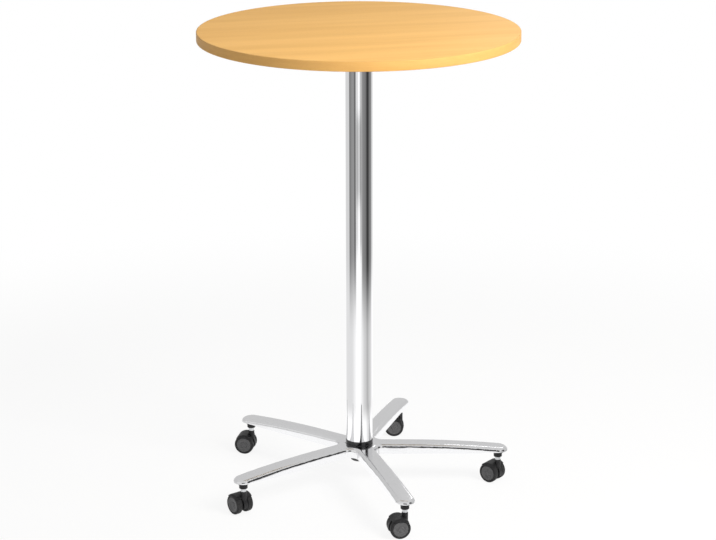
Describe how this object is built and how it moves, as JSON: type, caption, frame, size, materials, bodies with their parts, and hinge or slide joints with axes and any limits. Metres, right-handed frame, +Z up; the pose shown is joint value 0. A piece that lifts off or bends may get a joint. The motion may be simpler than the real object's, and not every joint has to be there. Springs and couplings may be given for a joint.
{
  "type": "standing meeting table",
  "caption": "Standing-height table: round wood-finish top on a chromed tube column, with a star-shaped cast base on swivel castors.",
  "frame": {"origin": "on the floor, on the column axis", "axes": "+Z up along the column; +X along the base arm that castor 1 carries"},
  "size_m": [0.6999, 0.7, 1.05],
  "materials": {
    "particle_board": "raw particle board",
    "beech_laminate": "satin beech-pattern laminate",
    "backing_laminate": "matt backing laminate",
    "beech_edge": "satin beech-pattern edge band",
    "black_painted_steel": "matt black powder coat",
    "zinc_steel": "bright zinc plating",
    "chromed_steel": "mirror chrome",
    "polished_aluminium": "polished die casting",
    "black_gloss_plastic": "glossy black moulding",
    "black_nylon": "satin black nylon",
    "wheel_nylon": "satin dark grey nylon",
    "tyre_tread": "matt soft polyurethane"
  },
  "bodies": {
    "base": {"tabletop_core": "particle_board", "top_laminate": "beech_laminate", "underside_laminate": "backing_laminate", "edge_band": "beech_edge", "top_spider": "black_painted_steel", "spider_screws": "zinc_steel", "upper_washer": "zinc_steel", "upper_nut": "zinc_steel", "tie_rod": "zinc_steel", "column_tube": "chromed_steel", "foot_collar": "black_gloss_plastic", "base_star": "polished_aluminium", "lower_washer": "zinc_steel", "lower_nut": "zinc_steel", "hub_cap": "black_gloss_plastic", "castor_1_stem": "zinc_steel", "castor_1_sleeve": "black_nylon", "castor_2_stem": "zinc_steel", "castor_2_sleeve": "black_nylon", "castor_3_stem": "zinc_steel", "castor_3_sleeve": "black_nylon", "castor_4_stem": "zinc_steel", "castor_4_sleeve": "black_nylon", "castor_5_stem": "zinc_steel", "castor_5_sleeve": "black_nylon"},
    "castor_1_swivel": {"castor_1_hood": "black_nylon", "castor_1_axle": "zinc_steel"},
    "castor_1_left_roller": {"castor_1_left_wheel": "wheel_nylon", "castor_1_left_tyre": "tyre_tread"},
    "castor_1_right_roller": {"castor_1_right_wheel": "wheel_nylon", "castor_1_right_tyre": "tyre_tread"},
    "castor_2_swivel": {"castor_2_hood": "black_nylon", "castor_2_axle": "zinc_steel"},
    "castor_2_left_roller": {"castor_2_left_wheel": "wheel_nylon", "castor_2_left_tyre": "tyre_tread"},
    "castor_2_right_roller": {"castor_2_right_wheel": "wheel_nylon", "castor_2_right_tyre": "tyre_tread"},
    "castor_3_swivel": {"castor_3_hood": "black_nylon", "castor_3_axle": "zinc_steel"},
    "castor_3_left_roller": {"castor_3_left_wheel": "wheel_nylon", "castor_3_left_tyre": "tyre_tread"},
    "castor_3_right_roller": {"castor_3_right_wheel": "wheel_nylon", "castor_3_right_tyre": "tyre_tread"},
    "castor_4_swivel": {"castor_4_hood": "black_nylon", "castor_4_axle": "zinc_steel"},
    "castor_4_left_roller": {"castor_4_left_wheel": "wheel_nylon", "castor_4_left_tyre": "tyre_tread"},
    "castor_4_right_roller": {"castor_4_right_wheel": "wheel_nylon", "castor_4_right_tyre": "tyre_tread"},
    "castor_5_swivel": {"castor_5_hood": "black_nylon", "castor_5_axle": "zinc_steel"},
    "castor_5_left_roller": {"castor_5_left_wheel": "wheel_nylon", "castor_5_left_tyre": "tyre_tread"},
    "castor_5_right_roller": {"castor_5_right_wheel": "wheel_nylon", "castor_5_right_tyre": "tyre_tread"}
  },
  "joints": [
    {"name": "castor_1_turn", "type": "hinge", "parent": "base", "child": "castor_1_swivel", "pos_m": [0.3165, 0, 0.045], "axis": [0, 0, 1], "continuous": true},
    {"name": "castor_1_left_roll", "type": "hinge", "parent": "castor_1_swivel", "child": "castor_1_left_roller", "pos_m": [0.29685, -0.00241, 0.0225], "axis": [-0.6157, -0.788, 0], "continuous": true},
    {"name": "castor_1_right_roll", "type": "hinge", "parent": "castor_1_swivel", "child": "castor_1_right_roller", "pos_m": [0.31409, 0.01965, 0.0225], "axis": [-0.6157, -0.788, 0], "continuous": true},
    {"name": "castor_2_turn", "type": "hinge", "parent": "base", "child": "castor_2_swivel", "pos_m": [0.0978, 0.30101, 0.045], "axis": [0, 0, 1], "continuous": true},
    {"name": "castor_2_left_roll", "type": "hinge", "parent": "castor_2_swivel", "child": "castor_2_left_roller", "pos_m": [0.0838, 0.28701, 0.0225], "axis": [0, -1, 0], "continuous": true},
    {"name": "castor_2_right_roll", "type": "hinge", "parent": "castor_2_swivel", "child": "castor_2_right_roller", "pos_m": [0.0838, 0.31501, 0.0225], "axis": [0, -1, 0], "continuous": true},
    {"name": "castor_3_turn", "type": "hinge", "parent": "base", "child": "castor_3_swivel", "pos_m": [-0.25605, 0.18603, 0.045], "axis": [0, 0, 1], "continuous": true},
    {"name": "castor_3_left_roll", "type": "hinge", "parent": "castor_3_swivel", "child": "castor_3_left_roller", "pos_m": [-0.27266, 0.17525, 0.0225], "axis": [-0.2079, -0.9781, 0], "continuous": true},
    {"name": "castor_3_right_roll", "type": "hinge", "parent": "castor_3_swivel", "child": "castor_3_right_roller", "pos_m": [-0.26684, 0.20264, 0.0225], "axis": [-0.2079, -0.9781, 0], "continuous": true},
    {"name": "castor_4_turn", "type": "hinge", "parent": "base", "child": "castor_4_swivel", "pos_m": [-0.25605, -0.18603, 0.045], "axis": [0, 0, 1], "continuous": true},
    {"name": "castor_4_left_roll", "type": "hinge", "parent": "castor_4_swivel", "child": "castor_4_left_roller", "pos_m": [-0.27571, -0.18362, 0.0225], "axis": [-0.788, -0.6157, 0], "continuous": true},
    {"name": "castor_4_right_roll", "type": "hinge", "parent": "castor_4_swivel", "child": "castor_4_right_roller", "pos_m": [-0.25364, -0.16638, 0.0225], "axis": [-0.788, -0.6157, 0], "continuous": true},
    {"name": "castor_5_turn", "type": "hinge", "parent": "base", "child": "castor_5_swivel", "pos_m": [0.0978, -0.30101, 0.045], "axis": [0, 0, 1], "continuous": true},
    {"name": "castor_5_left_roll", "type": "hinge", "parent": "castor_5_swivel", "child": "castor_5_left_roller", "pos_m": [0.08761, -0.31798, 0.0225], "axis": [0.2419, -0.9703, 0], "continuous": true},
    {"name": "castor_5_right_roll", "type": "hinge", "parent": "castor_5_swivel", "child": "castor_5_right_roller", "pos_m": [0.08083, -0.29081, 0.0225], "axis": [0.2419, -0.9703, 0], "continuous": true}
  ]
}
